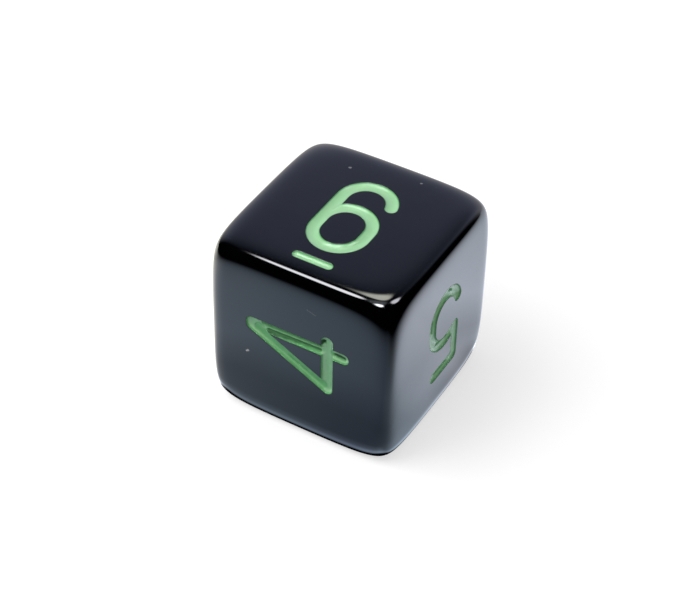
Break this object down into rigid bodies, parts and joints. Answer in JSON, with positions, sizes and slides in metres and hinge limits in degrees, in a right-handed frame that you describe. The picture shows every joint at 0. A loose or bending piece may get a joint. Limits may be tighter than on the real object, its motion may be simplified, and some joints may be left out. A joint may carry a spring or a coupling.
{
  "type": "numbered six-sided gaming die",
  "caption": "Glossy black cube die with rounded edges and engraved, green-inked numerals on its faces.",
  "frame": {"origin": "centre of the cube", "axes": "+Z out of the six, -Z the one, -Y the four, +Y the three, +X the five, -X the two"},
  "size_m": [0.016, 0.016, 0.016],
  "materials": {
    "body_plastic": "opaque black cast plastic, tumbled and polished to a high gloss, with fine handling scratches",
    "ink": "light green satin ink flooded into the engraving and wiped level, thin in places"
  },
  "bodies": {
    "root": {"die_body": "body_plastic", "ink_one": "ink", "ink_two": "ink", "ink_three": "ink", "ink_four": "ink", "ink_five": "ink", "ink_six": "ink", "ink_six_underline": "ink"}
  },
  "joints": []
}
